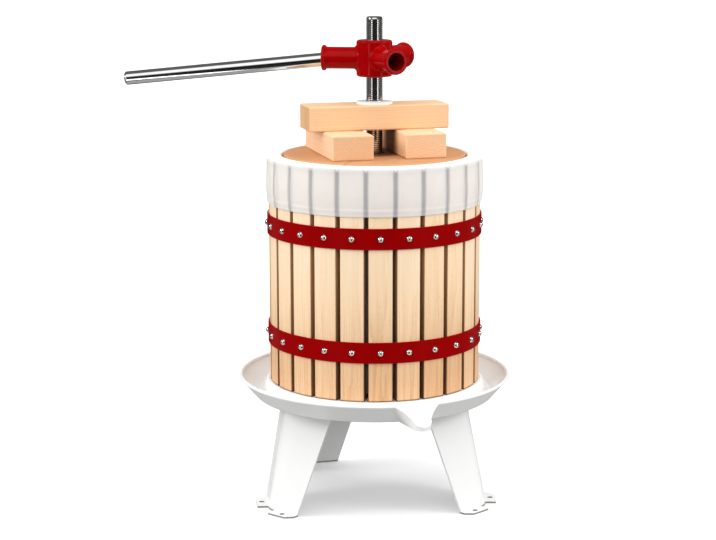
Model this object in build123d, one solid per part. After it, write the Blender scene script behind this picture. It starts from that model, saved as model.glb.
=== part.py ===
from build123d import *
from math import asin, atan2, cos, degrees, radians, sin, sqrt, tan
import os

# Fruit press: a slatted wooden basket on a three-legged catch pan, with a threaded spindle,
# a cast three-sleeve nut turned by a loose bar, and hardwood blocks that carry the load to
# a two-piece press plate. Millimetres, +Z up. The origin is on the spindle axis at floor
# level. The front is -Y, and an azimuth is counted from the front towards +X.

# Basket
SLAT_COUNT = 24
BASKET_RADIUS = 130.0
SLAT_THICKNESS = 14.0
SLAT_GAP = 2.0
SLAT_HEIGHT = 279.0
SLAT_ROUNDING = 1.2
SLAT_END_CHAMFER = 0.6
FIRST_SLAT_AZIMUTH = 3.2

# Hoops
HOOP_WIDTH = 25.0
HOOP_THICKNESS = 2.0
HOOP_EDGE_ROUNDING = 0.6
LOWER_HOOP_HEIGHT = 60.0
UPPER_HOOP_DROP = 83.0

# Rivets, one through each slat at each hoop
RIVET_RADIUS = 2.2
RIVET_HEAD_RADIUS = 4.0
RIVET_HEAD_HEIGHT = 3.0
RIVET_TAIL_RADIUS = 3.6
RIVET_TAIL_HEIGHT = 1.2
RIVET_CLEARANCE = 0.1

# Catch pan, pressed from one sheet
PAN_HEIGHT = 152.0
PAN_SHEET = 2.0
PLATFORM_MARGIN = 4.0
GUTTER_DEPTH = 18.0
GUTTER_SLOPE_RUN = 6.0
GUTTER_WIDTH = 7.0
PAN_WALL_FLARE = 19.0
PAN_WALL_HEIGHT = 22.0
PAN_BEND_RADIUS = 4.0
RIM_BEAD_RADIUS = 2.2

# Spout of the pan
SPOUT_AZIMUTH = 17.5
SPOUT_ROOT_WIDTH = 82.0
SPOUT_BOTTOM_WIDTH = 30.0
SPOUT_TIP_RADIUS = 11.0
SPOUT_RAKE = 5.0
SPOUT_REACH = 32.0
SPOUT_LIP = 1.0

# Legs, sheet with one broadly rounded fold, two foot tabs and two top tabs
LEG_AZIMUTHS = {"leg_front_left": -60.0, "leg_front_right": 67.0, "leg_rear": 218.0}
LEG_SHEET = 2.5
LEG_FOLD_ANGLE = 135.0
LEG_TOP_INSET = 15.0
LEG_SPLAY = 31.0
LEG_TOP_WIDTH = 75.0
LEG_FOOT_WIDTH = 44.0
LEG_TOP_BEND = 60.0
LEG_FOOT_BEND = 24.0
FOOT_TAB_LENGTH = 13.0
FOOT_TAB_CHAMFER = 8.0
FOOT_HOLE_RADIUS = 3.5
TOP_TAB_WIDTH = 24.0
TOP_TAB_LENGTH = 22.0

# Leg bolts and nuts; every hexagon nut has the same chamfer
NUT_CHAMFER_ANGLE = 30.0
BOLT_RADIUS = 3.0
BOLT_CLEARANCE = 0.3
BOLT_HEAD_RADIUS = 6.5
BOLT_HEAD_HEIGHT = 3.0
BOLT_TAIL = 2.5
BOLT_NUT_ACROSS_FLATS = 10.0
BOLT_NUT_HEIGHT = 5.0

# Spindle and what holds it in the pan
SPINDLE_RADIUS = 10.0
SPINDLE_STANDOUT = 28.0
SPINDLE_TAIL = 6.0
SPINDLE_CHAMFER = 1.5
SPINDLE_CLEARANCE = 0.3
SEAT_WASHER_RADIUS = 18.5
SEAT_WASHER_THICKNESS = 3.0
BACKING_PLATE_RADIUS = 30.0
BACKING_PLATE_THICKNESS = 4.0
HOLDING_NUT_ACROSS_FLATS = 30.0
HOLDING_NUT_HEIGHT = 14.0

# Press cloth: a bag that hangs in the basket and is turned down over its rim
CLOTH_THICKNESS = 1.2
CLOTH_CLEARANCE = 0.4
CLOTH_TURN_DOWN = 57.0
CLOTH_BELLY = 2.6
CLOTH_BELLY_HEIGHT = 17.0
CLOTH_FULLNESS = 1.2
CLOTH_HEM_FULLNESS = 0.3
CLOTH_SHOULDER = 2.5
CLOTH_HOLE_MARGIN = 4.0

# Press plate, in two halves
PLATE_CLEARANCE = 2.0
PLATE_THICKNESS = 25.0
PLATE_STAND = 2.0
PLATE_SEAM = 1.0
PLATE_SEAM_AZIMUTH = -18.0
PLATE_ROUNDING = 2.0
PLATE_SPINDLE_CLEARANCE = 3.0

# Wooden blocks
BLOCK_TURN = 15.0
CROSS_BLOCK_WIDTH = 50.0
CROSS_BLOCK_LENGTH = 145.0
CROSS_BLOCK_HEIGHT = 30.0
CROSS_BLOCK_SPINDLE_CLEARANCE = 10.0
TOP_BLOCK_WIDTH = 50.0
TOP_BLOCK_LENGTH = 175.0
TOP_BLOCK_HEIGHT = 30.0
TOP_BLOCK_SPINDLE_CLEARANCE = 2.5
BLOCK_CHAMFER = 1.5

# Thrust washer under the nut
THRUST_WASHER_RADIUS = 22.0
THRUST_WASHER_THICKNESS = 3.0
THRUST_WASHER_CLEARANCE = 0.6

# Cast nut with three sleeves
NUT_GAP = 30.0
NUT_HUB_WALL = 11.75
NUT_HUB_HEIGHT = 44.0
NUT_HUB_ROUNDING = 3.0
NUT_RUNNING_CLEARANCE = 0.05
SLEEVE_COUNT = 3
BAR_AZIMUTH = -96.0
SLEEVE_LENGTH = 42.2
SLEEVE_WALL = 2.55
SLEEVE_FLOOR = 8.95
SLEEVE_BEAD_STANDOUT = 2.4
SLEEVE_BEAD_LAND = 0.4
SLEEVE_FLARE = 1.6
SLEEVE_BLEND = 4.0

# Handle bar, loose in one sleeve
BAR_RADIUS = 8.3
BAR_LENGTH = 290.0
BAR_ROUNDING = 3.0
BAR_PLAY = 2.4
BAR_CLEARANCE = 0.15
BAR_END_GAP = 1.0

# Levels and radii that follow from the sizes above
SLAT_PITCH = 360 / SLAT_COUNT
SLAT_INNER = BASKET_RADIUS - SLAT_THICKNESS
SLAT_WIDTH = 2 * SLAT_INNER * tan(radians(SLAT_PITCH / 2)) - SLAT_GAP
SLAT_TOP = PAN_HEIGHT + SLAT_HEIGHT
HOOP_RADIUS = BASKET_RADIUS + HOOP_THICKNESS
HOOP_LEVELS = {"lower": PAN_HEIGHT + LOWER_HOOP_HEIGHT, "upper": SLAT_TOP - UPPER_HOOP_DROP}
PLATFORM_RADIUS = BASKET_RADIUS + PLATFORM_MARGIN
PLATFORM_UNDERSIDE = PAN_HEIGHT - PAN_SHEET
GUTTER_INNER = PLATFORM_RADIUS + GUTTER_SLOPE_RUN
GUTTER_OUTER = GUTTER_INNER + GUTTER_WIDTH
GUTTER_FLOOR = PAN_HEIGHT - GUTTER_DEPTH
PAN_UNDERSIDE = GUTTER_FLOOR - PAN_SHEET
RIM_RADIUS = GUTTER_OUTER + PAN_WALL_FLARE
RIM_LEVEL = GUTTER_FLOOR + PAN_WALL_HEIGHT
CLOTH_OUTER = SLAT_INNER - RIVET_TAIL_HEIGHT - CLOTH_CLEARANCE
CLOTH_INNER = CLOTH_OUTER - CLOTH_THICKNESS
CLOTH_BOTTOM = PAN_HEIGHT + BOLT_HEAD_HEIGHT + CLOTH_CLEARANCE
HOLDING_NUT_CORNER = HOLDING_NUT_ACROSS_FLATS / sqrt(3)
CLOTH_HOLE_RADIUS = max(SEAT_WASHER_RADIUS, HOLDING_NUT_CORNER) + CLOTH_HOLE_MARGIN
PLATE_RADIUS = CLOTH_INNER - PLATE_CLEARANCE
PLATE_TOP = SLAT_TOP + PLATE_STAND
CROSS_BLOCK_TOP = PLATE_TOP + CROSS_BLOCK_HEIGHT
TOP_BLOCK_TOP = CROSS_BLOCK_TOP + TOP_BLOCK_HEIGHT
NUT_BOTTOM = TOP_BLOCK_TOP + THRUST_WASHER_THICKNESS + NUT_GAP
NUT_MIDDLE = NUT_BOTTOM + NUT_HUB_HEIGHT / 2
NUT_BORE_RADIUS = SPINDLE_RADIUS + NUT_RUNNING_CLEARANCE
NUT_HUB_RADIUS = NUT_BORE_RADIUS + NUT_HUB_WALL
SLEEVE_MOUTH = NUT_HUB_RADIUS + SLEEVE_LENGTH
SLEEVE_BORE_RADIUS = BAR_RADIUS + BAR_PLAY
SLEEVE_BORE_DEPTH = SLEEVE_MOUTH - SLEEVE_FLOOR - NUT_BORE_RADIUS
SLEEVE_RADIUS = SLEEVE_BORE_RADIUS + SLEEVE_WALL
SLEEVE_BEAD_RADIUS = SLEEVE_RADIUS + SLEEVE_BEAD_STANDOUT
SLEEVE_BEAD_LENGTH = 2 * SLEEVE_BEAD_STANDOUT + SLEEVE_BEAD_LAND
SPINDLE_TOP = NUT_BOTTOM + NUT_HUB_HEIGHT + SPINDLE_STANDOUT
LOCK_NUT_TOP = PLATFORM_UNDERSIDE - BACKING_PLATE_THICKNESS
SPINDLE_BOTTOM = LOCK_NUT_TOP - HOLDING_NUT_HEIGHT - SPINDLE_TAIL
LEG_TOP_RADIUS = PLATFORM_RADIUS - LEG_TOP_INSET
LEG_FOOT_RADIUS = LEG_TOP_RADIUS + LEG_SPLAY
FOOT_TAB_START = LEG_FOOT_BEND / tan(radians(LEG_FOLD_ANGLE / 2))

STANDING = (Align.CENTER, Align.CENTER, Align.MIN)


def at_azimuth(azimuth, piece):
    """Turn a piece modelled at the front to its azimuth about the spindle axis."""
    return Rot(0, 0, azimuth) * piece


def tube(outer, inner, bottom, height):
    """Round ring about the spindle axis, standing on the level bottom."""
    ring = Circle(outer) - Circle(inner)
    return extrude(Pos(0, 0, bottom) * ring, height)


def hexagon_nut(across_flats, hole, bottom, height):
    """Hexagon nut about the spindle axis with its corners turned down by a cone."""
    flat = across_flats / 2
    corner = across_flats / sqrt(3)
    drop = (corner - flat) * tan(radians(NUT_CHAMFER_ANGLE))
    blank = extrude(RegularPolygon(corner, 6) - Circle(hole), height)
    outline = Polygon(
        (0, 0),
        (flat, 0),
        (corner, drop),
        (corner, height - drop),
        (flat, height),
        (0, height),
        align=None,
    )
    return Pos(0, 0, bottom) * (blank & revolve(Plane.XZ * outline, Axis.Z))


def dome(radius, height, base):
    """Arc of a round head in a section through its axis, from its edge up to its crown."""
    ball = (radius**2 + height**2) / (2 * height)
    half_angle = degrees(atan2(radius, ball - height))
    return CenterArc((0, base + height - ball), ball, 90 - half_angle, half_angle)


# Slats
def rivet_hole(level):
    """Cutter for one rivet hole through hoop and slat at the front."""
    cutter = Cylinder(RIVET_RADIUS + RIVET_CLEARANCE, 2 * BASKET_RADIUS, align=STANDING)
    return Pos(0, 0, level) * Rot(90, 0, 0) * cutter


def slat():
    """Straight stave with a flat inner face and an outer face rounded to the hoop."""
    half = SLAT_WIDTH / 2
    edge = sqrt(BASKET_RADIUS**2 - half**2)
    outer = ThreePointArc((-half, -edge), (0, -BASKET_RADIUS), (half, -edge))
    inner = Polyline((half, -edge), (half, -SLAT_INNER), (-half, -SLAT_INNER), (-half, -edge))
    section = make_face(Curve() + [outer, inner])
    section = fillet(section.vertices(), SLAT_ROUNDING)
    stave = extrude(Pos(0, 0, PAN_HEIGHT) * section, SLAT_HEIGHT)
    ends = stave.faces().sort_by(Axis.Z)
    stave = chamfer([*ends[0].edges(), *ends[-1].edges()], SLAT_END_CHAMFER)
    return stave - [rivet_hole(level) for level in HOOP_LEVELS.values()]


# Hoops
def slat_azimuths():
    """Azimuths of the slat centres, all the way round."""
    return [FIRST_SLAT_AZIMUTH + index * SLAT_PITCH for index in range(SLAT_COUNT)]


def hoop(level):
    """Flat steel band round the slats, drilled once for each slat."""
    band = tube(HOOP_RADIUS, BASKET_RADIUS, level - HOOP_WIDTH / 2, HOOP_WIDTH)
    outside = band.edges().group_by(SortBy.LENGTH)[-1]
    band = fillet(outside, HOOP_EDGE_ROUNDING)
    return band - [at_azimuth(azimuth, rivet_hole(level)) for azimuth in slat_azimuths()]


# Rivets
def rivet(level):
    """Dome-headed rivet at the front: head on the hoop, shank in the slat, tail inside."""
    head = dome(RIVET_HEAD_RADIUS, RIVET_HEAD_HEIGHT, HOOP_RADIUS)
    shank = Polyline(
        (RIVET_HEAD_RADIUS, HOOP_RADIUS),
        (RIVET_RADIUS, HOOP_RADIUS),
        (RIVET_RADIUS, SLAT_INNER),
        (RIVET_TAIL_RADIUS, SLAT_INNER),
        (RIVET_TAIL_RADIUS, SLAT_INNER - RIVET_TAIL_HEIGHT),
        (0, SLAT_INNER - RIVET_TAIL_HEIGHT),
        (0, HOOP_RADIUS + RIVET_HEAD_HEIGHT),
    )
    turned = revolve(make_face(Curve() + [head, shank]), Axis.Y)
    return Pos(0, 0, level) * Rot(0, 0, 180) * turned


def rivet_row(level):
    """The rivets of one hoop, as separate solids."""
    return Compound(children=[at_azimuth(azimuth, rivet(level)) for azimuth in slat_azimuths()])


# Catch pan
def pan_profile():
    """Half section of the pan sheet: platform, slope, gutter, flared wall and rim bead."""
    upper = FilletPolyline(
        (SPINDLE_RADIUS + SPINDLE_CLEARANCE, PAN_HEIGHT),
        (PLATFORM_RADIUS, PAN_HEIGHT),
        (GUTTER_INNER, GUTTER_FLOOR),
        (GUTTER_OUTER, GUTTER_FLOOR),
        (RIM_RADIUS, RIM_LEVEL),
        radius=PAN_BEND_RADIUS,
    )
    sheet = make_face(offset(upper, PAN_SHEET, side=Side.RIGHT))
    bead = Pos(RIM_RADIUS, RIM_LEVEL) * Circle(RIM_BEAD_RADIUS)
    return sheet + bead


def spout_outline(level, inset):
    """Plan of the spout at one level: straight sides that spread upwards and a round tip."""
    rise = (level - PAN_UNDERSIDE) / (RIM_LEVEL - PAN_UNDERSIDE)
    root = (SPOUT_BOTTOM_WIDTH + rise * (SPOUT_ROOT_WIDTH - SPOUT_BOTTOM_WIDTH)) / 2 - inset
    tip = SPOUT_TIP_RADIUS - inset
    reach = RIM_RADIUS + SPOUT_REACH - (1 - rise) * SPOUT_RAKE - inset
    edges = [
        Line((-root, -GUTTER_OUTER), (-tip, tip - reach)),
        ThreePointArc((-tip, tip - reach), (0, -reach), (tip, tip - reach)),
        Line((tip, tip - reach), (root, -GUTTER_OUTER)),
        Line((root, -GUTTER_OUTER), (-root, -GUTTER_OUTER)),
    ]
    return Pos(0, 0, level) * make_face(Curve() + edges)


def spout_side_view():
    """Side view of the spout: its edge falls from the rim to a low pouring lip."""
    tip = RIM_RADIUS + SPOUT_REACH
    lip = GUTTER_FLOOR + SPOUT_LIP
    outline = Polygon(
        (-GUTTER_INNER, PAN_UNDERSIDE),
        (-tip, PAN_UNDERSIDE),
        (-tip, lip),
        (-RIM_RADIUS, RIM_LEVEL),
        (-GUTTER_INNER, RIM_LEVEL),
        align=None,
    )
    return extrude(Plane.YZ * outline, SPOUT_ROOT_WIDTH, both=True)


def pan_hollow():
    """Space above the gutter and inside the flared wall."""
    outline = Polygon(
        (PLATFORM_RADIUS, GUTTER_FLOOR),
        (GUTTER_OUTER, GUTTER_FLOOR),
        (RIM_RADIUS, RIM_LEVEL),
        (RIM_RADIUS, RIM_LEVEL + PAN_WALL_HEIGHT),
        (PLATFORM_RADIUS, RIM_LEVEL + PAN_WALL_HEIGHT),
        align=None,
    )
    return revolve(Plane.XZ * outline, Axis.Z)


def catch_pan():
    """Pan with its spout, drilled for the spindle and the leg bolts."""
    dish = revolve(Plane.XZ * pan_profile(), Axis.Z)
    above_rim = RIM_LEVEL + 2 * RIM_BEAD_RADIUS
    trough = loft([spout_outline(PAN_UNDERSIDE, 0), spout_outline(above_rim, 0)], ruled=True)
    trough = at_azimuth(SPOUT_AZIMUTH, trough & spout_side_view()) - pan_hollow()
    channel_floor = spout_outline(GUTTER_FLOOR, PAN_SHEET)
    channel = loft([channel_floor, spout_outline(above_rim, PAN_SHEET)], ruled=True)
    pan = dish + trough - at_azimuth(SPOUT_AZIMUTH, channel)
    return pan - [place * bolt_hole() for place in leg_bolt_places()]


# Legs
def flange_place(apex_radius, level):
    """Place on a leg's fold at the front, with X along the right flange and Y inwards from it."""
    return Pos(0, -apex_radius, level) * Rot(0, 0, 90 - LEG_FOLD_ANGLE / 2)


def leg_section(width, apex_radius, bend, level):
    """Open V section of a leg at the front, its fold rounded to the bend's outer radius."""
    half = radians(LEG_FOLD_ANGLE / 2)
    outer_x, outer_y = width * sin(half), width * cos(half)
    inner_x, inner_y = outer_x - LEG_SHEET * cos(half), outer_y + LEG_SHEET * sin(half)
    inner_fold = (0, LEG_SHEET / sin(half))
    outline = Polygon(
        (0, 0),
        (outer_x, outer_y),
        (inner_x, inner_y),
        inner_fold,
        (-inner_x, inner_y),
        (-outer_x, outer_y),
        align=None,
    )
    fold = outline.vertices().sort_by_distance((0, 0))
    outline = fillet(fold[0], bend)
    inside = outline.vertices().sort_by_distance(inner_fold)
    outline = fillet(inside[0], bend - LEG_SHEET)
    return Pos(0, -apex_radius, level) * outline


def on_both_flanges(piece):
    """A tab of the right flange together with the same tab of the left one."""
    return [piece, piece.mirror(Plane.YZ)]


def foot_tab():
    """Tab turned outwards where a flange is flat at its foot, with a chamfered corner and a hole."""
    outline = Polygon(
        (FOOT_TAB_START, LEG_SHEET),
        (FOOT_TAB_START, -FOOT_TAB_LENGTH),
        (LEG_FOOT_WIDTH - FOOT_TAB_CHAMFER, -FOOT_TAB_LENGTH),
        (LEG_FOOT_WIDTH, FOOT_TAB_CHAMFER - FOOT_TAB_LENGTH),
        (LEG_FOOT_WIDTH, LEG_SHEET),
        align=None,
    )
    hole = Pos(*foot_hole_place()) * Circle(FOOT_HOLE_RADIUS)
    return extrude(outline - hole, LEG_SHEET)


def foot_hole_place():
    """Centre of a foot hole, along the flange and outwards from it."""
    return ((FOOT_TAB_START + LEG_FOOT_WIDTH) / 2, -FOOT_TAB_LENGTH / 2)


def top_tab_span():
    """Where a top tab begins and ends along its flange."""
    end = LEG_TOP_WIDTH - LEG_SHEET
    return (end - TOP_TAB_WIDTH, end)


def top_hole_place():
    """Centre of a top tab's bolt hole, along the flange and inwards from it."""
    start, end = top_tab_span()
    return ((start + end) / 2, (TOP_TAB_LENGTH + LEG_SHEET) / 2)


def top_tab():
    """Tab turned inwards at the top of one flange, drilled for its bolt."""
    start, end = top_tab_span()
    outline = Polygon((start, 0), (end, 0), (end, TOP_TAB_LENGTH), (start, TOP_TAB_LENGTH), align=None)
    hole = Pos(*top_hole_place()) * Circle(BOLT_RADIUS + BOLT_CLEARANCE)
    return extrude(outline - hole, LEG_SHEET)


def leg():
    """One leg at the front: a tapering, rounded V, splayed outwards, with its four tabs."""
    foot = leg_section(LEG_FOOT_WIDTH, LEG_FOOT_RADIUS, LEG_FOOT_BEND, 0)
    top = leg_section(LEG_TOP_WIDTH, LEG_TOP_RADIUS, LEG_TOP_BEND, PLATFORM_UNDERSIDE)
    blade = loft([foot, top], ruled=True)
    foot_place = flange_place(LEG_FOOT_RADIUS, 0)
    top_place = flange_place(LEG_TOP_RADIUS, PLATFORM_UNDERSIDE - LEG_SHEET)
    return blade + on_both_flanges(foot_place * foot_tab()) + on_both_flanges(top_place * top_tab())


# Leg bolts and nuts
def leg_bolt_places():
    """Place of every leg bolt: two to a leg, one on each flange."""
    spot = (flange_place(LEG_TOP_RADIUS, 0) * Pos(*top_hole_place())).position
    places = []
    for azimuth in LEG_AZIMUTHS.values():
        for side in (1, -1):
            places.append(Rot(0, 0, azimuth) * Pos(side * spot.X, spot.Y))
    return places


def bolt_hole():
    """Cutter for a bolt hole through the platform."""
    return Pos(0, 0, PAN_HEIGHT) * Cylinder(BOLT_RADIUS + BOLT_CLEARANCE, 4 * PAN_SHEET)


def leg_bolt():
    """Low domed bolt: head on the platform, shank through the leg's top tab and its nut."""
    tail = PLATFORM_UNDERSIDE - LEG_SHEET - BOLT_NUT_HEIGHT - BOLT_TAIL
    head = dome(BOLT_HEAD_RADIUS, BOLT_HEAD_HEIGHT, PAN_HEIGHT)
    shank = Polyline(
        (BOLT_HEAD_RADIUS, PAN_HEIGHT),
        (BOLT_RADIUS, PAN_HEIGHT),
        (BOLT_RADIUS, tail),
        (0, tail),
        (0, PAN_HEIGHT + BOLT_HEAD_HEIGHT),
    )
    return revolve(Plane.XZ * make_face(Curve() + [head, shank]), Axis.Z)


def leg_bolts():
    """All the leg bolts, as separate solids."""
    return Compound(children=[place * leg_bolt() for place in leg_bolt_places()])


def leg_nuts():
    """All the leg nuts, as separate solids."""
    bottom = PLATFORM_UNDERSIDE - LEG_SHEET - BOLT_NUT_HEIGHT
    nut = hexagon_nut(BOLT_NUT_ACROSS_FLATS, BOLT_RADIUS, bottom, BOLT_NUT_HEIGHT)
    return Compound(children=[place * nut for place in leg_bolt_places()])


# Spindle
def spindle():
    """Round bar with chamfered ends, as long as its thread."""
    height = SPINDLE_TOP - SPINDLE_BOTTOM
    bar = Cylinder(SPINDLE_RADIUS, height, align=STANDING)
    bar = chamfer(bar.edges().filter_by(GeomType.CIRCLE), SPINDLE_CHAMFER)
    return Pos(0, 0, SPINDLE_BOTTOM) * bar


def holding_nut(bottom):
    """One of the two nuts that clamp the spindle to the pan."""
    return hexagon_nut(HOLDING_NUT_ACROSS_FLATS, SPINDLE_RADIUS, bottom, HOLDING_NUT_HEIGHT)


# Press cloth
def scallops(slat_radius, gap_radius, level):
    """Outline of the cloth round the basket: it swells over each slat and dips at each gap."""
    arcs = []
    for azimuth in slat_azimuths():
        points = []
        for turn, radius in ((-0.5, gap_radius), (0, slat_radius), (0.5, gap_radius)):
            angle = radians(azimuth + turn * SLAT_PITCH)
            points.append((radius * sin(angle), -radius * cos(angle)))
        arcs.append(ThreePointArc(*points))
    return Pos(0, 0, level) * make_face(Curve() + arcs)


def skirt_outlines(growth, top):
    """Outlines of the turned-down cloth: a tight hem, a full belly and the swell below the rim."""
    hem = SLAT_TOP - CLOTH_TURN_DOWN
    snug = BASKET_RADIUS + CLOTH_CLEARANCE + growth
    belly = snug + CLOTH_BELLY
    return [
        scallops(snug + CLOTH_HEM_FULLNESS, snug, hem),
        scallops(belly, belly - CLOTH_FULLNESS, hem + CLOTH_BELLY_HEIGHT),
        scallops(snug + CLOTH_FULLNESS, snug, top),
    ]


def press_cloth():
    """Bag with a round bottom, hung in the basket, with its mouth turned down outside."""
    cover = SLAT_TOP + CLOTH_THICKNESS
    snug = BASKET_RADIUS + CLOTH_CLEARANCE
    outside = skirt_outlines(CLOTH_THICKNESS, cover - CLOTH_SHOULDER)
    outside.append(scallops(snug + CLOTH_FULLNESS, snug, cover))
    skirt = loft(outside, ruled=True) - loft(skirt_outlines(0, SLAT_TOP), ruled=True)
    lining = tube(CLOTH_OUTER, CLOTH_INNER, CLOTH_BOTTOM, cover - CLOTH_BOTTOM)
    bottom = tube(CLOTH_OUTER, CLOTH_HOLE_RADIUS, CLOTH_BOTTOM, CLOTH_THICKNESS)
    mouth = Pos(0, 0, cover) * Cylinder(CLOTH_INNER, 4 * CLOTH_SHOULDER)
    return skirt - mouth + lining + bottom


# Press plate
def plate_half(side):
    """Half disc beside the seam, notched for the spindle. Side is 1 right, -1 left."""
    bottom = PLATE_TOP - PLATE_THICKNESS
    disc = Cylinder(PLATE_RADIUS, PLATE_THICKNESS, align=STANDING)
    disc = fillet(disc.edges().filter_by(GeomType.CIRCLE), PLATE_ROUNDING)
    keep = Box(2 * PLATE_RADIUS, 2 * PLATE_RADIUS, PLATE_THICKNESS, align=STANDING)
    keep = Pos(side * (PLATE_RADIUS + PLATE_SEAM / 2), 0, 0) * keep
    notch = Cylinder(SPINDLE_RADIUS + PLATE_SPINDLE_CLEARANCE, 4 * PLATE_THICKNESS)
    return at_azimuth(PLATE_SEAM_AZIMUTH, Pos(0, 0, bottom) * ((disc & keep) - notch))


# Wooden blocks
def block(length, width, height):
    """Planed hardwood block with every edge broken, standing on its own origin."""
    body = Box(length, width, height, align=STANDING)
    return chamfer(body.edges(), BLOCK_CHAMFER)


def cross_block(side):
    """Lower block beside the spindle, lying across the seam of the plate."""
    offset_x = side * (SPINDLE_RADIUS + CROSS_BLOCK_SPINDLE_CLEARANCE + CROSS_BLOCK_WIDTH / 2)
    body = block(CROSS_BLOCK_WIDTH, CROSS_BLOCK_LENGTH, CROSS_BLOCK_HEIGHT)
    return at_azimuth(BLOCK_TURN, Pos(offset_x, 0, PLATE_TOP) * body)


def top_block():
    """Upper block that bridges the two lower ones, drilled for the spindle."""
    body = block(TOP_BLOCK_LENGTH, TOP_BLOCK_WIDTH, TOP_BLOCK_HEIGHT)
    body -= Cylinder(SPINDLE_RADIUS + TOP_BLOCK_SPINDLE_CLEARANCE, 4 * TOP_BLOCK_HEIGHT)
    return at_azimuth(BLOCK_TURN, Pos(0, 0, CROSS_BLOCK_TOP) * body)


# Cast nut
def sleeve_azimuths():
    """Azimuths of the sleeves; the bar sits in the first."""
    return [BAR_AZIMUTH + index * 360 / SLEEVE_COUNT for index in range(SLEEVE_COUNT)]


def outwards(radius, height, mouth):
    """Cylinder pointing to the front at the sleeves' level, ending at the radius mouth."""
    rod = Cylinder(radius, height, align=(Align.CENTER, Align.CENTER, Align.MAX))
    return Pos(0, -mouth, NUT_MIDDLE) * Rot(90, 0, 0) * rod


def sleeve_bead():
    """Rounded collar at a sleeve's mouth, which the sleeve flares up to."""
    collar = outwards(SLEEVE_BEAD_RADIUS, SLEEVE_BEAD_LENGTH, SLEEVE_MOUTH)
    collar = fillet(collar.edges().filter_by(GeomType.CIRCLE), SLEEVE_BEAD_STANDOUT)
    bead = collar + outwards(SLEEVE_RADIUS, SLEEVE_BEAD_LENGTH + 2 * SLEEVE_FLARE, SLEEVE_MOUTH)
    throat = bead.edges().filter_by(GeomType.CIRCLE).sort_by(Axis.Y)[-2]
    return fillet(throat, SLEEVE_FLARE)


def spindle_nut():
    """Threaded hub with three blind sleeves, blended where they meet the hub."""
    hub = Cylinder(NUT_HUB_RADIUS, NUT_HUB_HEIGHT)
    hub = Pos(0, 0, NUT_MIDDLE) * fillet(hub.edges().filter_by(GeomType.CIRCLE), NUT_HUB_ROUNDING)
    arm = outwards(SLEEVE_RADIUS, SLEEVE_MOUTH - SPINDLE_RADIUS, SLEEVE_MOUTH)
    body = hub + [at_azimuth(azimuth, arm) for azimuth in sleeve_azimuths()]
    seams = body.edges().filter_by(GeomType.BSPLINE)
    body = fillet(seams, SLEEVE_BLEND)
    body = body + [at_azimuth(azimuth, sleeve_bead()) for azimuth in sleeve_azimuths()]
    socket = outwards(SLEEVE_BORE_RADIUS, SLEEVE_BORE_DEPTH, SLEEVE_MOUTH)
    body = body - [at_azimuth(azimuth, socket) for azimuth in sleeve_azimuths()]
    return body - Pos(0, 0, NUT_MIDDLE) * Cylinder(NUT_BORE_RADIUS, 2 * NUT_HUB_HEIGHT)


# Handle bar
def handle_bar():
    """Plain bar that droops in its loose sleeve: it bears on the lip and under the bore's top."""
    inserted = SLEEVE_BORE_DEPTH - BAR_END_GAP
    slack = 2 * (BAR_PLAY - BAR_CLEARANCE)
    droop = asin(slack / inserted)
    bar = Cylinder(BAR_RADIUS, BAR_LENGTH, align=STANDING)
    bar = fillet(bar.edges().filter_by(GeomType.CIRCLE), BAR_ROUNDING)
    lip = BAR_CLEARANCE + BAR_RADIUS / cos(droop) - SLEEVE_BORE_RADIUS
    mouth = Pos(0, -SLEEVE_MOUTH, NUT_MIDDLE + lip) * Rot(90 + degrees(droop), 0, 0)
    return at_azimuth(BAR_AZIMUTH, mouth * Pos(0, 0, -inserted) * bar)


def save(node, piece):
    """Write one piece to its own file under the name of its node."""
    export_step(piece, os.path.join("parts", node + ".step"))


os.makedirs("parts", exist_ok=True)

# Base: pan, legs and spindle
save("catch_pan", catch_pan())
for node, azimuth in LEG_AZIMUTHS.items():
    save(node, at_azimuth(azimuth, leg()))
save("leg_bolts", leg_bolts())
save("leg_nuts", leg_nuts())
save("spindle", spindle())
seat_washer = tube(SEAT_WASHER_RADIUS, SPINDLE_RADIUS, PAN_HEIGHT, SEAT_WASHER_THICKNESS)
save("spindle_seat_washer", seat_washer)
save("spindle_seat_nut", holding_nut(PAN_HEIGHT + SEAT_WASHER_THICKNESS))
backing_plate = tube(BACKING_PLATE_RADIUS, SPINDLE_RADIUS, LOCK_NUT_TOP, BACKING_PLATE_THICKNESS)
save("spindle_backing_plate", backing_plate)
save("spindle_lock_nut", holding_nut(LOCK_NUT_TOP - HOLDING_NUT_HEIGHT))

# Basket: slats, hoops, rivets and cloth
stave = slat()
for number, azimuth in enumerate(slat_azimuths(), start=1):
    save(f"slat_{number:02d}", at_azimuth(azimuth, stave))
for name, level in HOOP_LEVELS.items():
    save(f"hoop_{name}", hoop(level))
    save(f"rivets_{name}", rivet_row(level))
save("press_cloth", press_cloth())

# Press stack: plate halves, blocks and washer
save("plate_half_left", plate_half(-1))
save("plate_half_right", plate_half(1))
save("cross_block_left", cross_block(-1))
save("cross_block_right", cross_block(1))
save("top_block", top_block())
washer_hole = SPINDLE_RADIUS + THRUST_WASHER_CLEARANCE
thrust_washer = tube(THRUST_WASHER_RADIUS, washer_hole, TOP_BLOCK_TOP, THRUST_WASHER_THICKNESS)
save("thrust_washer", thrust_washer)

# Nut and bar
save("spindle_nut", spindle_nut())
save("handle_bar", handle_bar())
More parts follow.
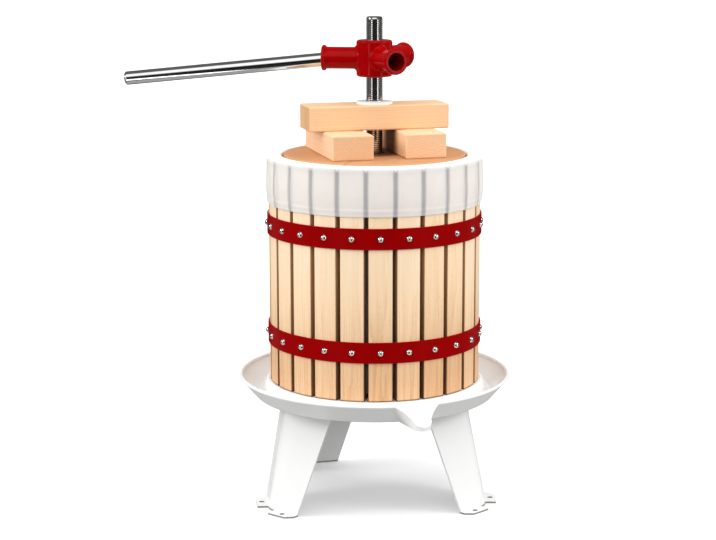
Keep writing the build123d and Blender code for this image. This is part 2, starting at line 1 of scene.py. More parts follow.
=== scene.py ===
import bmesh
import bpy
import numpy as np
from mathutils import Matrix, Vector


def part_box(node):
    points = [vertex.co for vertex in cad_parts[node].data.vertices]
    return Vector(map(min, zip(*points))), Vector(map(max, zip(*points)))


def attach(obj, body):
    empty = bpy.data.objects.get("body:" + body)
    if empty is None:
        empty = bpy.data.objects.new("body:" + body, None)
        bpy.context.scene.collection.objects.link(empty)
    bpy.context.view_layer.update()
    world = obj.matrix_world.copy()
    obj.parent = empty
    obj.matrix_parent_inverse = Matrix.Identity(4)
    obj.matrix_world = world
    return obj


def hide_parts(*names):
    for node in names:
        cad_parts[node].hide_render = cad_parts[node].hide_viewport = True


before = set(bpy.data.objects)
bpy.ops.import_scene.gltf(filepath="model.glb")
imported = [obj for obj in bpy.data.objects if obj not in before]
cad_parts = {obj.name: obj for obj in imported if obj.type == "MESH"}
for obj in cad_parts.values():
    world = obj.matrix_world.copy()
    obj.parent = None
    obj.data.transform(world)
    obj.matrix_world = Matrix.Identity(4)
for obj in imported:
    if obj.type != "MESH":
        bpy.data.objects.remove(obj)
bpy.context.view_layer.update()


# Catch pan: one round of sheet steel, pressed into a platform with a juice gutter, a flared
# wall with a rolled rim and a spout, then coated white and stoved. The basket stands on it.
def linear(hex_colour):
    """sRGB to linear light: below 0.04045 divided by 12.92, above it the 2.4 power curve."""
    srgb = np.array([int(hex_colour[i:i + 2], 16) for i in (1, 3, 5)]) / 255
    curve = np.where(srgb <= 0.04045, srgb / 12.92, ((srgb + 0.055) / 1.055) ** 2.4)
    return (*(float(c) for c in curve), 1.0)


def add_node(tree, kind, inputs=None, **settings):
    """Add one node: settings are its properties, inputs its sockets' values or links."""
    node = tree.nodes.new("ShaderNode" + kind)
    for name, value in settings.items():
        setattr(node, name, value)
    for name, value in (inputs or {}).items():
        if isinstance(value, bpy.types.NodeSocket):
            tree.links.new(value, node.inputs[name])
        else:
            node.inputs[name].default_value = value
    return node


def start_finish(name, metallic=0.0):
    """A new material with its tree, its shader and the coordinates of its piece in metres."""
    material = bpy.data.materials.new(name)
    material.use_nodes = True
    tree = material.node_tree
    shader = tree.nodes["Principled BSDF"]
    shader.inputs["Metallic"].default_value = metallic
    place = add_node(tree, "TexCoord").outputs["Object"]
    return material, tree, shader, place


def shade(tree, shader, factor, low, high, smooth, rough):
    """Link a factor from 0 to 1 to the colour, from low to high, and to the roughness."""
    colour = add_node(tree, "Mix", {0: factor, 6: linear(low), 7: linear(high)}, data_type="RGBA")
    gloss = add_node(tree, "MapRange", {"Value": factor, "To Min": smooth, "To Max": rough})
    tree.links.new(colour.outputs[2], shader.inputs["Base Color"])
    tree.links.new(gloss.outputs["Result"], shader.inputs["Roughness"])


def emboss(tree, shader, height, depth, strength):
    """Link a height from 0 to 1 to the shader's normal; depth is its full height in metres."""
    relief = add_node(tree, "Bump", {"Height": height, "Distance": depth, "Strength": strength})
    tree.links.new(relief.outputs["Normal"], shader.inputs["Normal"])


def coat(material, *names):
    """Give the finish to the named pieces of the frame."""
    for name in names:
        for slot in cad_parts[name].material_slots:
            slot.material = material


# Stoved white enamel: glossy, faintly uneven in tone where the coat is thicker, with the slight
# orange peel of a sprayed coat, about 2 mm from crest to crest. The lowest 2 mm, which are the
# edges of the foot tabs on the floor, are painted grey: a painted contact shadow.
white_enamel, tree, shader, place = start_finish("white_stove_enamel")
cloud = add_node(tree, "TexNoise", {"Vector": place, "Scale": 1 / 0.070, "Detail": 3.0})
peel = add_node(tree, "TexNoise", {"Vector": place, "Scale": 1 / 0.0022, "Detail": 1.0})
level = add_node(tree, "SeparateXYZ", {0: place})
# Painted contact shadow: below 1.9 mm the enamel turns to the grey, on the tab edges that stand on
# the floor.
painted_shade_factor = add_node(tree, "MapRange", {"Value": level.outputs["Z"], "From Min": 0.0019,
                                    "From Max": 0.0023})
tone = add_node(tree, "Math", {0: cloud.outputs["Fac"], 1: 0.06, 2: 0.92},
                operation="MULTIPLY_ADD")
tone = add_node(tree, "Math", {0: tone.outputs[0], 1: painted_shade_factor.outputs["Result"]},
                operation="MULTIPLY")
shade(tree, shader, tone.outputs[0], "#8E8E8C", "#F6F6F5", 0.55, 0.20)
emboss(tree, shader, peel.outputs["Fac"], 0.00006, 0.25)
coat(white_enamel, "catch_pan")


# Legs: three sheets with one broadly rounded fold and turned-out foot tabs, in the same white
# stove enamel. Each is bolted under the platform by its two top tabs.
coat(white_enamel, "leg_front_left", "leg_front_right", "leg_rear")


# Leg bolts and nuts, and the washer, plate and nuts that clamp the spindle to the pan: turned
# and pressed steel, zinc-plated and screwed together.
# Zinc plating: dull silver with a bluish cast, clouded at about 6 mm, with fine dull specks.
zinc, tree, shader, place = start_finish("zinc_plated_steel", metallic=1.0)
cloud = add_node(tree, "TexNoise", {"Vector": place, "Scale": 1 / 0.006, "Detail": 4.0})
specks = add_node(tree, "TexNoise", {"Vector": place, "Scale": 1 / 0.0006, "Detail": 2.0})
shade(tree, shader, cloud.outputs["Fac"], "#A9AEB4", "#C9CDD1", 0.42, 0.26)
emboss(tree, shader, specks.outputs["Fac"], 0.00003, 0.3)
coat(zinc, "leg_bolts", "leg_nuts", "spindle_seat_washer", "spindle_seat_nut",
     "spindle_backing_plate", "spindle_lock_nut")


# Spindle: a steel bar, 20 mm across, with a thread of 2.5 mm pitch rolled along its whole
# length and its ends chamfered. Two nuts clamp it upright in the middle of the pan.
def threaded_bar(radius, depth, pitch, bottom, top, chamfer, steps):
    """Profile on a path: the path is a helix that climbs one pitch a turn, the profile is a
    flat crest, a flank, a flat root and a flank, and the end of a turn joins the next turn.
    Heights are held between the two ends, and radii under the cones of the chamfers. The
    crest, the first flank and the root end at their shares of the pitch."""
    crest, flank, root = 0.62, 0.76, 0.86
    turns = int(np.ceil((top - bottom) / pitch)) + 2
    along = np.arange(turns * steps + 1)
    angle = along[:, None] * 2 * np.pi / steps
    climb = bottom - pitch + along[:, None] * pitch / steps
    height = np.clip(climb + pitch * np.array([0.0, crest, flank, root]), bottom, top)
    cone = radius - chamfer + np.minimum(height - bottom, top - height)
    r = np.minimum(radius - depth * np.array([0, 0, 1, 1]), cone)
    points = np.stack([r * np.cos(angle), r * np.sin(angle), height], -1).reshape(-1, 3)
    strip = np.arange(len(along) * 4).reshape(-1, 4)
    strip = np.hstack([strip[:-steps], strip[steps:, :1]])
    quads = np.stack([strip[:-1, :-1], strip[1:, :-1], strip[1:, 1:], strip[:-1, 1:]], -1)
    return points, quads.reshape(-1, 4)


def new_piece(name, points, faces, material, body):
    """A smooth mesh at the origin from points in millimetres, riding on a body."""
    mesh = bpy.data.meshes.new(name)
    mesh.from_pydata((points / 1000).tolist(), [], faces.tolist())
    mesh.polygons.foreach_set("use_smooth", np.ones(len(faces), bool))
    mesh.materials.append(material)
    piece = bpy.data.objects.new(name, mesh)
    bpy.context.scene.collection.objects.link(piece)
    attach(piece, body)
    return piece


def from_axis(tree, point):
    """How far a point is from the upright axis: its length with Z left out."""
    flat = add_node(tree, "VectorMath", {0: point, 1: (1, 1, 0)}, operation="MULTIPLY")
    reach = add_node(tree, "VectorMath", {0: flat.outputs["Vector"]}, operation="LENGTH")
    return reach.outputs["Value"]


# Rolled bright steel: the crests are burnished by the dies, the roots hold a little dark oil.
rolled_steel, tree, shader, place = start_finish("rolled_bright_steel", metallic=1.0)
crest = add_node(tree, "MapRange", {"Value": from_axis(tree, place), "From Min": 0.0093,
                                    "From Max": 0.0099})
shade(tree, shader, crest.outputs["Result"], "#8C8984", "#D6D5D3", 0.30, 0.12)
streak = add_node(tree, "Mapping", {"Vector": place, "Scale": (1 / 0.0012, 1 / 0.0012, 1 / 0.09)})
drawn = add_node(tree, "TexNoise", {"Vector": streak.outputs["Vector"], "Scale": 1.0})
emboss(tree, shader, drawn.outputs["Fac"], 0.00003, 0.3)

low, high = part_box("spindle")
points, faces = threaded_bar(radius=10.0, depth=0.7, pitch=2.5, bottom=low.z * 1000,
                             top=high.z * 1000, chamfer=1.5, steps=40)
spindle = new_piece("threaded_spindle", points, faces, rolled_steel, "base")
shell = bmesh.new()
shell.from_mesh(spindle.data)
bmesh.ops.remove_doubles(shell, verts=shell.verts, dist=1e-6)
bmesh.ops.holes_fill(shell, edges=shell.edges)
bmesh.ops.recalc_face_normals(shell, faces=shell.faces)
shell.to_mesh(spindle.data)
shell.free()
spindle.data.set_sharp_from_angle(angle=np.radians(35))
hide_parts("spindle")


# Slats: 24 straight staves of beech, planed, with a flat back and an outer face rounded to the
# hoops. They stand side by side with a gap for the juice, riveted to the hoops.
# Planed beech: pale tan with faint growth rings about 3 mm apart, fine fibres along the grain,
# and short darker flecks; each stave comes from another place in the log.
def beech(name, pale, middle, dark, numbered, pith):
    """Wood whose grain runs along Z of the coordinates that numbered(tree, place) gives, with
    the piece's number and how much darker than planed wood it is there. Growth rings are
    circles about the pith, bent by a slow noise. Fibres and flecks are noises drawn out along
    the grain."""
    material, tree, shader, place = start_finish(name)
    log, number, darker = numbered(tree, place)
    luck = add_node(tree, "TexWhiteNoise", {"W": number}, noise_dimensions="1D")
    log = add_node(tree, "VectorMath", {0: luck.outputs["Color"], 1: (0.03, 0.03, 2.0), 2: log},
                   operation="MULTIPLY_ADD").outputs["Vector"]
    drawn = {}
    for part, size in {"bend": (0.022, 0.022, 0.25), "fibre": (0.0011, 0.0011, 0.06),
                       "fleck": (0.0007, 0.0007, 0.0045)}.items():
        spread = add_node(tree, "Mapping", {"Vector": log, "Scale": tuple(1 / s for s in size)})
        drawn[part] = add_node(tree, "TexNoise", {"Vector": spread.outputs["Vector"], "Scale": 1.0,
                                                  "Detail": 2.0}).outputs["Fac"]
    offset = add_node(tree, "VectorMath", {0: log, 1: pith}, operation="SUBTRACT")
    far = from_axis(tree, offset.outputs["Vector"])
    bent = add_node(tree, "Math", {0: drawn["bend"], 1: 0.012, 2: far}, operation="MULTIPLY_ADD")
    years = add_node(tree, "Math", {0: bent.outputs[0], 1: 1 / 0.0034}, operation="MULTIPLY")
    year = add_node(tree, "Math", {0: years.outputs[0]}, operation="FRACT")
    late = add_node(tree, "Math", {0: year.outputs[0], 1: 3.0}, operation="POWER")
    speck = add_node(tree, "MapRange", {"Value": drawn["fleck"], "From Min": 0.60,
                                        "From Max": 0.72})
    tone = add_node(tree, "Math", {0: late.outputs[0], 1: 0.13, 2: 0.10}, operation="MULTIPLY_ADD")
    for value, weight in ((drawn["fibre"], 0.40), (speck.outputs["Result"], 0.16),
                          (luck.outputs["Value"], 0.18)):
        tone = add_node(tree, "Math", {0: value, 1: weight, 2: tone.outputs[0]},
                        operation="MULTIPLY_ADD")
    stained = add_node(tree, "Math", {0: tone.outputs[0], 1: 0.5, 2: darker},
                       operation="MULTIPLY_ADD")
    ramp = add_node(tree, "ValToRGB", {"Fac": stained.outputs[0]})
    stops = ramp.color_ramp.elements
    stops[0].position, stops[0].color = 0.075, linear(pale)
    stops[1].position, stops[1].color = 1.0, linear("#54321A")
    stops.new(0.275).color = linear(middle)
    stops.new(0.5).color = linear(dark)
    gloss = add_node(tree, "MapRange", {"Value": drawn["fibre"], "To Min": 0.48, "To Max": 0.66})
    tree.links.new(ramp.outputs["Color"], shader.inputs["Base Color"])
    tree.links.new(gloss.outputs["Result"], shader.inputs["Roughness"])
    emboss(tree, shader, tone.outputs[0], 0.00025, 0.35)
    return material


# The angle from slat to slat, and where the first one stands, counted from the front.
SLAT_PITCH = 2 * np.pi / 24
FIRST_SLAT = np.radians(3.2)


def in_a_stave(tree, place):
    """Coordinates turned about Z so that every stave stands at the front, with its number: the
    azimuth counted in slat pitches, rounded. The sides, 14.27 mm from the middle, and the last 0.7
    mm of the face before them are painted dark as shade in the gaps; the lower half is painted a
    little darker as shade, and the lowest 2 mm darker still as a painted contact shadow on the pan."""
    xyz = add_node(tree, "SeparateXYZ", {0: place})
    ahead = add_node(tree, "Math", {0: xyz.outputs["Y"], 1: -1.0}, operation="MULTIPLY")
    azimuth = add_node(tree, "Math", {0: xyz.outputs["X"], 1: ahead.outputs[0]},
                       operation="ARCTAN2")
    count = add_node(tree, "Math", {0: azimuth.outputs[0], 1: 1 / SLAT_PITCH,
                                    2: 0.5 - FIRST_SLAT / SLAT_PITCH}, operation="MULTIPLY_ADD")
    number = add_node(tree, "Math", {0: count.outputs[0]}, operation="FLOOR").outputs[0]
    back = add_node(tree, "Math", {0: number, 1: -SLAT_PITCH, 2: -FIRST_SLAT},
                    operation="MULTIPLY_ADD")
    front = add_node(tree, "VectorRotate", {"Vector": place, "Angle": back.outputs[0]},
                     rotation_type="Z_AXIS")
    stave = add_node(tree, "SeparateXYZ", {0: front.outputs["Vector"]})
    aside = add_node(tree, "Math", {0: stave.outputs["X"]}, operation="ABSOLUTE")
    # Painted shade in the gaps: the sides and the outer 0.7 mm of the face are darkened.
    painted_side_shade = add_node(tree, "MapRange", {"Value": aside.outputs[0], "From Min": 0.0136,
                                       "From Max": 0.0142, "To Max": 0.48})
    # Painted shade: the staves turn a little darker towards the bottom.
    painted_low_shade = add_node(tree, "MapRange", {"Value": stave.outputs["Z"], "From Min": 0.17,
                                        "From Max": 0.33, "To Min": 0.23, "To Max": 0.0},
                     interpolation_type="SMOOTHSTEP")
    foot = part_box("slat_01")[0].z
    # Painted contact shadow: the lowest 2 mm, where the stave stands on the pan.
    painted_local_shade = add_node(tree, "MapRange", {"Value": stave.outputs["Z"], "From Min": foot + 0.0008,
                                         "From Max": foot + 0.0022, "To Min": 0.45, "To Max": 0.0})
    darker = add_node(tree, "Math", {0: painted_side_shade.outputs["Result"], 1: painted_low_shade.outputs["Result"]},
                      operation="ADD")
    darker = add_node(tree, "Math", {0: darker.outputs[0], 1: painted_local_shade.outputs["Result"]},
                      operation="ADD")
    return front.outputs["Vector"], number, darker.outputs[0]


slat_beech = beech("planed_beech_slats", "#FBE7CA", "#F5D4AC", "#D4A272", in_a_stave,
                   pith=(0.015, -0.070, 0.0))
slats = [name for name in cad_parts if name.startswith("slat_")]
coat(slat_beech, *slats)


# Hoops: two bands of flat steel, 25 mm wide, bent round the slats, drilled for the rivets and
# coated in deep red enamel.
# Red stove enamel: saturated and glossy, a little darker where it is thin, with orange peel.
red_enamel, tree, shader, place = start_finish("red_stove_enamel")
cloud = add_node(tree, "TexNoise", {"Vector": place, "Scale": 1 / 0.030, "Detail": 3.0})
peel = add_node(tree, "TexNoise", {"Vector": place, "Scale": 1 / 0.0025, "Detail": 1.0})
shade(tree, shader, cloud.outputs["Fac"], "#860001", "#960003", 0.30, 0.40)
shader.inputs["Specular IOR Level"].default_value = 0.02
emboss(tree, shader, peel.outputs["Fac"], 0.00008, 0.3)
coat(red_enamel, "hoop_lower", "hoop_upper")


# Rivets: steel with domed heads, nickel-plated, driven through hoop and slat and upset inside.
# Nickel plating: bright with a faint warm cast, dulled a little in patches.
nickel, tree, shader, place = start_finish("nickel_plated_rivets", metallic=1.0)
cloud = add_node(tree, "TexNoise", {"Vector": place, "Scale": 1 / 0.004, "Detail": 3.0})
shade(tree, shader, cloud.outputs["Fac"], "#D2CCC2", "#E2DED6", 0.16, 0.07)
emboss(tree, shader, cloud.outputs["Fac"], 0.00002, 0.2)
coat(nickel, "rivets_lower", "rivets_upper")


# Press cloth: a sewn bag of thin white filter cloth that lines the basket. Its mouth is turned
# down over the slats' ends and hangs outside, drawn in at its hem.
# Radii and then heights of the bag's profile, in millimetres.
BAG_HOLE = 23.2
BAG_LINING = 113.8
BAG_SKIRT = 132.2
BAG_BOTTOM = 156.0
BAG_RIM = 431.6
BAG_HEM = 374.2


def bag_profile():
    """Profile in radius and height, millimetres: the bottom from its hole outwards, a rounded
    corner, up the lining, over the slats' ends by two quarter turns, and down the skirt, whose
    radius is a smooth curve through its rim, belly and hem; the hem is one cloth thicker."""
    bend, turn, thicker = 5.0, 2.4, 0.35
    quarter = np.linspace(0, np.pi / 2, 7)
    bottom = np.stack([np.linspace(BAG_HOLE, 108.0, 16), np.full(16, BAG_BOTTOM)])
    corner = np.stack([BAG_LINING - bend + bend * np.sin(quarter),
                       BAG_BOTTOM + bend - bend * np.cos(quarter)])
    lining = np.stack([np.full(26, BAG_LINING), np.linspace(163.0, 428.0, 26)])
    inner_turn = np.stack([BAG_LINING + turn - turn * np.cos(quarter),
                           BAG_RIM - turn + turn * np.sin(quarter)])
    rim = np.stack([np.linspace(117.5, 128.5, 7), np.full(7, BAG_RIM)])
    outer_turn = np.stack([BAG_SKIRT - turn + turn * np.sin(quarter),
                           BAG_RIM - turn + turn * np.cos(quarter)])
    curve = np.polyfit([429.0, 418.0, 404.0, 391.0, 382.0, BAG_HEM],
                       [BAG_SKIRT, 132.7, 133.4, 133.5, 132.4, 131.0], 4)
    level = np.concatenate([np.linspace(427.0, 382.6, 22), np.linspace(381.8, 375.0, 6),
                            [374.5, BAG_HEM]])
    hem = (level < 382.2) & (level > 374.4)
    skirt = np.stack([np.polyval(curve, level) + thicker * hem, level])
    return np.concatenate([bottom, corner, lining, inner_turn, rim, outer_turn, skirt], 1)


# The mean radius at which the bag is laid out flat, in metres.
BAG_MEAN = 0.122


def bag_sheet(columns):
    """Surface of two parameters, the azimuth and the way along the profile. The skirt dips at
    each gap between slats as a bell curve of the azimuth, and swells in slow waves; the rim
    sags into the gaps by a narrower bell curve; the lining has shallow upright folds. Each
    corner of a face also gets its place in the bag laid out flat, in metres."""
    dip, sag, fold = 1.3, 3.0, 0.7
    r, z = bag_profile()
    way = np.concatenate([[0], np.cumsum(np.hypot(np.diff(r), np.diff(z)))])
    azimuth = FIRST_SLAT + np.linspace(0, 2 * np.pi, columns + 1)
    from_gap = np.mod((azimuth - FIRST_SLAT) / SLAT_PITCH, 1) - 0.5
    gap = np.exp(-(from_gap * SLAT_PITCH / 0.028) ** 2)
    crease = np.exp(-(from_gap * SLAT_PITCH / 0.011) ** 2)
    waves = 0.30 * np.sin(5 * azimuth + 0.4) + 0.25 * np.sin(11 * azimuth + 1.3)
    waves = waves + 0.22 * np.sin(23 * azimuth + 2.2)
    outside = (r > 131.2) & (z > 373)
    down = np.clip((BAG_RIM - z) / (BAG_RIM - BAG_HEM), 0, 1)
    belly = np.where(outside, np.sin(np.pi * down) ** 0.6, 0)
    top = np.clip((z - 426) / 5, 0, 1) * np.clip((r - 116) / 8, 0, 1)
    hanging = np.where((r > 113) & (r < 114), np.sin(np.pi * np.clip((z - 161) / 268, 0, 1)), 0)
    folds = 0.5 + 0.5 * np.sin(19 * azimuth[:, None] + 2 * np.sin(z / 45))
    radius = r + belly * (waves[:, None] - dip * gap[:, None]) - fold * hanging * folds
    height = z - sag * top * crease[:, None]
    points = np.stack([radius * np.sin(azimuth)[:, None], -radius * np.cos(azimuth)[:, None],
                       height], -1)
    grid = np.arange(columns * len(r)).reshape(columns, len(r))
    grid = np.vstack([grid, grid[:1]])
    quads = np.stack([grid[:-1, :-1], grid[:-1, 1:], grid[1:, 1:], grid[1:, :-1]], -1)
    lay = np.stack(np.broadcast_arrays(azimuth[:, None] * BAG_MEAN, way / 1000), -1)
    corners = np.stack([lay[:-1, :-1], lay[:-1, 1:], lay[1:, 1:], lay[1:, :-1]], -2)
    return points[:-1].reshape(-1, 3), quads.reshape(-1, 4), corners.reshape(-1, 2)


# Filter cloth: a plain weave, matt and slightly see-through. Over each gap between slats a grey
# line is painted on it as shade, because no wood throws light back through the cloth there: on the
# skirt a line about 5 mm wide, on the lining a darker one, painted shade deep in the gap. The
# threads are drawn 1.5 mm apart, coarser than they are, to show at all. Both shares depend on the
# way along the bag from its hole: how dark the painted line is, and how much of the light the cloth
# stops.
filter_cloth, tree, shader, place = start_finish("woven_filter_cloth")
lay = add_node(tree, "UVMap", uv_map="lay")
yarn = add_node(tree, "SeparateXYZ", {0: lay.outputs["UV"]})
threads = []
for axis in ("X", "Y"):
    phase = add_node(tree, "Math", {0: yarn.outputs[axis], 1: 2 * np.pi / 0.0015},
                     operation="MULTIPLY")
    threads.append(add_node(tree, "Math", {0: phase.outputs[0]}, operation="SINE").outputs[0])
weave = add_node(tree, "Math", {0: threads[0], 1: threads[1]}, operation="MULTIPLY")
slub = add_node(tree, "TexNoise", {"Vector": lay.outputs["UV"], "Scale": 1 / 0.012, "Detail": 4.0})
thick = add_node(tree, "Math", {0: weave.outputs[0], 1: 0.12, 2: slub.outputs["Fac"]},
                 operation="MULTIPLY_ADD")
turned = add_node(tree, "Math", {0: yarn.outputs["X"], 1: 1 / (BAG_MEAN * SLAT_PITCH),
                                 2: -FIRST_SLAT / SLAT_PITCH}, operation="MULTIPLY_ADD")
swing = add_node(tree, "Math", {0: turned.outputs[0], 1: 0.5}, operation="PINGPONG")
gap = add_node(tree, "MapRange", {"Value": swing.outputs[0], "From Min": 0.39, "From Max": 0.455})
share = {}
for part, stops in {"free": ((0.350, 0.85), (0.358, 0.0), (0.380, 0.0), (0.386, 0.40)),
                    "opaque": ((0.379, 0.85), (0.386, 0.48), (0.434, 0.48), (0.435, 0.58))}.items():
    ramp = add_node(tree, "ValToRGB", {"Fac": yarn.outputs["Y"]})
    elements = ramp.color_ramp.elements
    for position, level in stops:
        elements.new(position).color = (level, level, level, 1)
    elements.remove(elements[0])
    elements.remove(elements[-1])
    share[part] = ramp.outputs["Color"]
# Painted shade: a grey line over each gap, darker on the lining, taken off the cloth's tone.
painted_gap_line = add_node(tree, "Math", {0: gap.outputs["Result"], 1: share["free"]}, operation="MULTIPLY")
body = add_node(tree, "Math", {0: thick.outputs[0], 1: 0.08, 2: 0.94}, operation="MULTIPLY_ADD")
painted_shade_factor = add_node(tree, "Math", {0: body.outputs[0], 1: painted_gap_line.outputs[0]}, operation="SUBTRACT")
shade(tree, shader, painted_shade_factor.outputs[0], "#5A5052", "#FFFFFF", 0.90, 0.80)
emboss(tree, shader, thick.outputs[0], 0.0003, 0.4)
shader.inputs["Sheen Weight"].default_value = 0.15
tree.links.new(share["opaque"], shader.inputs["Alpha"])

points, faces, corners = bag_sheet(columns=24 * 18)
cloth = new_piece("filter_cloth_bag", points, faces, filter_cloth, "basket")
cloth.data.uv_layers.new(name="lay").data.foreach_set("uv", corners.ravel())
wall = cloth.modifiers.new("thickness", "SOLIDIFY")
wall.thickness = 0.0008
wall.offset = 0.0
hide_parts("press_cloth")


# Press plate: two half discs of warmer beech, 25 mm thick, notched for the spindle, that lie
# loose in the bag side by side. Their grain runs along the seam.
def lying(turn, number, ends, painted_spindle_shade):
    """Coordinates of a piece whose grain lies flat, turned from +Y: the grain is brought to Y about
    the upright axis and then tipped up to Z. End grain, which lies that far from the middle in
    metres, is darker. The wood up to 46 mm from the spindle's axis is painted darker by the given
    share: painted shade in the gap round the spindle."""
    def numbered(tree, place):
        along = add_node(tree, "VectorRotate", {"Vector": place, "Angle": np.radians(-turn)},
                         rotation_type="Z_AXIS")
        upright = add_node(tree, "VectorRotate", {"Vector": along.outputs["Vector"],
                                                  "Angle": np.pi / 2}, rotation_type="X_AXIS")
        side = add_node(tree, "SeparateXYZ", {0: upright.outputs["Vector"]})
        right = add_node(tree, "Math", {0: side.outputs["X"], 1: 0.0}, operation="GREATER_THAN")
        which = add_node(tree, "Math", {0: right.outputs[0], 1: number}, operation="ADD")
        along = add_node(tree, "Math", {0: side.outputs["Z"]}, operation="ABSOLUTE")
        cut = add_node(tree, "MapRange", {"Value": along.outputs[0], "From Min": ends - 0.0016,
                                          "From Max": ends - 0.0002, "To Max": 0.20})
        # Painted shade round the spindle, fading out between 24 and 46 mm from its axis.
        painted_local_shade = add_node(tree, "MapRange", {"Value": from_axis(tree, place), "From Min": 0.024,
                                             "From Max": 0.046, "To Min": painted_spindle_shade, "To Max": 0.0})
        darker = add_node(tree, "Math", {0: cut.outputs["Result"], 1: painted_local_shade.outputs["Result"]},
                          operation="ADD")
        return upright.outputs["Vector"], which.outputs[0], darker.outputs[0]
    return numbered


plate_beech = beech("planed_beech_plate", "#D8A476", "#C68C5C", "#A06838",
                    lying(turn=-18, number=40.0, ends=0.112, painted_spindle_shade=0.8), pith=(0.02, -0.50, 0.0))
coat(plate_beech, "plate_half_left", "plate_half_right")


# Blocks: two lower beech blocks beside the spindle and one drilled block across them, planed
# on all sides with broken edges. They only lie on each other.
lower_beech = beech("planed_beech_lower_blocks", "#FAD6B0", "#F3C9A0", "#DCA97C",
                    lying(turn=15, number=50.0, ends=0.0725, painted_spindle_shade=0.8), pith=(0.03, -0.52, 0.0))
upper_beech = beech("planed_beech_upper_block", "#F6D0A2", "#EEC294", "#D6A274",
                    lying(turn=-75, number=61.0, ends=0.0875, painted_spindle_shade=0.0), pith=(0.03, -0.54, 0.0))
coat(lower_beech, "cross_block_left", "cross_block_right")
coat(upper_beech, "top_block")


# Thrust washer: a ring of white nylon, turned, that keeps the cast nut off the wood.
# Turned nylon: milky and satin, with fine turning rings about 0.8 mm apart.
nylon, tree, shader, place = start_finish("turned_white_nylon")
feed = add_node(tree, "Math", {0: from_axis(tree, place), 1: 2 * np.pi / 0.0008},
                operation="MULTIPLY")
ridge = add_node(tree, "Math", {0: feed.outputs[0]}, operation="SINE")
ridge = add_node(tree, "MapRange", {"Value": ridge.outputs[0], "From Min": -1.0})
shade(tree, shader, ridge.outputs["Result"], "#F1F1EF", "#F7F7F5", 0.34, 0.44)
emboss(tree, shader, ridge.outputs["Result"], 0.00003, 0.3)
coat(nylon, "thrust_washer")


# Nut: a casting with a threaded hub and three sleeves for the bar, blasted and coated in the
# same red as the hoops. The coat lies over the slightly uneven skin of the casting.
# Red enamel on a casting: glossy, over dents about 8 mm wide, its tone clouded at about 22 mm.
red_casting, tree, shader, place = start_finish("red_enamel_on_casting")
skin = add_node(tree, "TexNoise", {"Vector": place, "Scale": 1 / 0.008, "Detail": 3.0})
cloud = add_node(tree, "TexNoise", {"Vector": place, "Scale": 1 / 0.022, "Detail": 2.0})
shade(tree, shader, cloud.outputs["Fac"], "#8A0002", "#A40003", 0.07, 0.14)
shader.inputs["Specular IOR Level"].default_value = 0.10
emboss(tree, shader, skin.outputs["Fac"], 0.0003, 0.25)
coat(red_casting, "spindle_nut")


# Bar: a plain steel bar with rounded ends, ground and chromed. It sits loose in one sleeve and
# droops in it.
# Chrome on ground steel: mirror-like, with faint smears and fine grinding lines round the bar.
chrome, tree, shader, place = start_finish("chromed_ground_steel", metallic=1.0)
smear = add_node(tree, "TexNoise", {"Vector": place, "Scale": 1 / 0.035, "Detail": 4.0})
shade(tree, shader, smear.outputs["Fac"], "#D4D4D4", "#E4E4E3", 0.04, 0.11)
lines = add_node(tree, "Mapping", {"Vector": place, "Scale": (1 / 0.0006, 1 / 0.01, 1 / 0.01)})
ground = add_node(tree, "TexNoise", {"Vector": lines.outputs["Vector"], "Scale": 1.0})
emboss(tree, shader, ground.outputs["Fac"], 0.00002, 0.15)
coat(chrome, "handle_bar")


# Studio: a pale floor that runs out of the picture, a tent of light that is brighter above and
# weaker behind and that metal mirrors only above the front, two soft boxes from left and right,
# and black and grey cards and strip lights round the press, which streak the metal.
def studio_sheet(name, points, faces, material):
    """A sheet that belongs to the studio and not to the press."""
    mesh = bpy.data.meshes.new(name)
    mesh.from_pydata(points, [], faces)
    mesh.materials.append(material)
    sheet = bpy.data.objects.new(name, mesh)
    bpy.context.scene.collection.objects.link(sheet)
    return sheet


# Floor paint: white and matt. It throws less light back than the camera sees on it, so that the
# undersides of pan and legs stay in the shade.
floor_paint, tree, shader, place = start_finish("white_floor_paint")
ray = add_node(tree, "LightPath")
shade(tree, shader, ray.outputs["Is Camera Ray"], "#7A7A7A", "#EAEAEA", 0.9, 0.9)
shader.inputs["Emission Color"].default_value = (1, 1, 1, 1)
shader.inputs["Emission Strength"].default_value = 0.17
shader.inputs["Specular IOR Level"].default_value = 0.1
edge = 25
studio_sheet("floor", [(-edge, -edge, 0), (edge, -edge, 0), (edge, edge, 0), (-edge, edge, 0)],
             [(0, 1, 2, 3)], floor_paint)

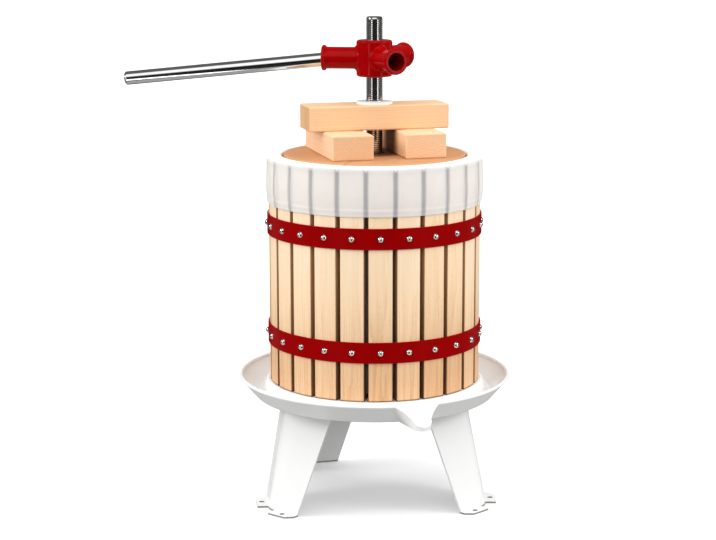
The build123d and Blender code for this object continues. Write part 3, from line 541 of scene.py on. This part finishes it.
# Cards and strip lights: matt card, and tubes behind a white sheet. Only reflections show them.
black_card, tree, shader, place = start_finish("black_card")
shader.inputs["Base Color"].default_value = linear("#0A0A0A")
shader.inputs["Roughness"].default_value = 1.0
grey_card, tree, shader, place = start_finish("grey_card")
shader.inputs["Base Color"].default_value = linear("#5C6066")
shader.inputs["Roughness"].default_value = 1.0
strip_light, tree, shader, place = start_finish("white_strip_light")
shader.inputs["Emission Color"].default_value = (1, 1, 1, 1)
shader.inputs["Emission Strength"].default_value = 1.8
for name, start, end, material in (("card_front", -31, 42, black_card),
                                   ("strip_left", -41, -32, strip_light),
                                   ("strip_right", 43, 54, strip_light),
                                   ("card_left", -120, -42, grey_card),
                                   ("card_right", 55, 120, grey_card),
                                   ("card_back_left", -170, -135, black_card),
                                   ("card_back_right", 135, 170, black_card)):
    near, far, lift, height, columns = 0.50, 2.4, 0.004, 1.1, 9
    turn = np.radians(np.linspace(start, end, columns))
    bent = np.array([(near, lift), (far, lift), (far, height)])
    points = np.stack(np.broadcast_arrays(bent[:, :1] * np.sin(turn), -bent[:, :1] * np.cos(turn),
                                          bent[:, 1:]), -1)
    rows = np.arange(len(bent) * columns).reshape(-1, columns)
    faces = np.stack([rows[:-1, :-1], rows[:-1, 1:], rows[1:, 1:], rows[1:, :-1]], -1)
    card = studio_sheet(name, points.reshape(-1, 3).tolist(), faces.reshape(-1, 4).tolist(),
                        material)
    card.visible_camera = False
    card.visible_diffuse = False
    card.visible_shadow = False
    card.visible_transmission = False

# Light tent: the light it gives, what a mirror shows of it, and plain white for the camera.
world = bpy.data.worlds.new("light_tent")
world.use_nodes = True
bpy.context.scene.world = world
tree = world.node_tree
sky = tree.nodes["Background"]
way = add_node(tree, "TexCoord").outputs["Generated"]
above_front = add_node(tree, "VectorMath", {0: way, 1: (0, -0.68, 0.73)}, operation="DOT_PRODUCT")
mirrored = add_node(tree, "MapRange", {"Value": above_front.outputs["Value"], "From Min": 0.79,
                                       "From Max": 0.93, "To Min": 0.14, "To Max": 1.5},
                    interpolation_type="SMOOTHSTEP")
axes = add_node(tree, "SeparateXYZ", {0: way})
rear = add_node(tree, "MapRange", {"Value": axes.outputs["Y"], "From Min": -0.1, "From Max": 0.6,
                                   "To Min": 1.0, "To Max": 0.70},
                interpolation_type="SMOOTHSTEP")
high = add_node(tree, "MapRange", {"Value": axes.outputs["Z"], "From Min": 0.05, "From Max": 0.7,
                                   "To Min": 0.74, "To Max": 1.75},
                interpolation_type="SMOOTHSTEP")
lit = add_node(tree, "Math", {0: rear.outputs["Result"], 1: high.outputs["Result"]},
               operation="MULTIPLY")
ray = add_node(tree, "LightPath")
strength = add_node(tree, "Mix", {0: ray.outputs["Is Glossy Ray"], 2: lit.outputs[0],
                                  3: mirrored.outputs["Result"]}, data_type="FLOAT")
seen = add_node(tree, "Mix", {0: ray.outputs["Is Camera Ray"], 2: strength.outputs[0], 3: 1.0},
                data_type="FLOAT")
tree.links.new(seen.outputs[0], sky.inputs["Strength"])
sky.inputs["Color"].default_value = (1, 1, 1, 1)

middle = np.array([0, 0, 0.32])
for name, spot, size, power in (("soft_box", (-1.95, -0.60, 1.15), 0.60, 14.0),
                                ("fill", (1.90, -0.65, 1.15), 0.60, 12.0)):
    lamp = bpy.data.lights.new(name, "AREA")
    lamp.size = size
    lamp.energy = power
    light = bpy.data.objects.new(name, lamp)
    bpy.context.scene.collection.objects.link(light)
    light.location = spot
    aim = middle - np.array(spot)
    tilt = np.arccos(-aim[2] / np.linalg.norm(aim))
    light.rotation_euler = (tilt, 0, np.arctan2(-aim[0], aim[1]))

# Camera: 2.2 m in front of the axis, a little above the press and tilted down at it.
lens = bpy.data.cameras.new("camera")
lens.sensor_width = 36.0
lens.lens = 90.95
lens.shift_x = -0.0229
lens.clip_end = 200.0
camera = bpy.data.objects.new("camera", lens)
bpy.context.scene.collection.objects.link(camera)
camera.location = (0, -2.2, 0.721)
camera.rotation_euler = (np.radians(90 - 11.18), 0, 0)
bpy.context.scene.camera = camera
bpy.context.scene.view_settings.view_transform = "Standard"
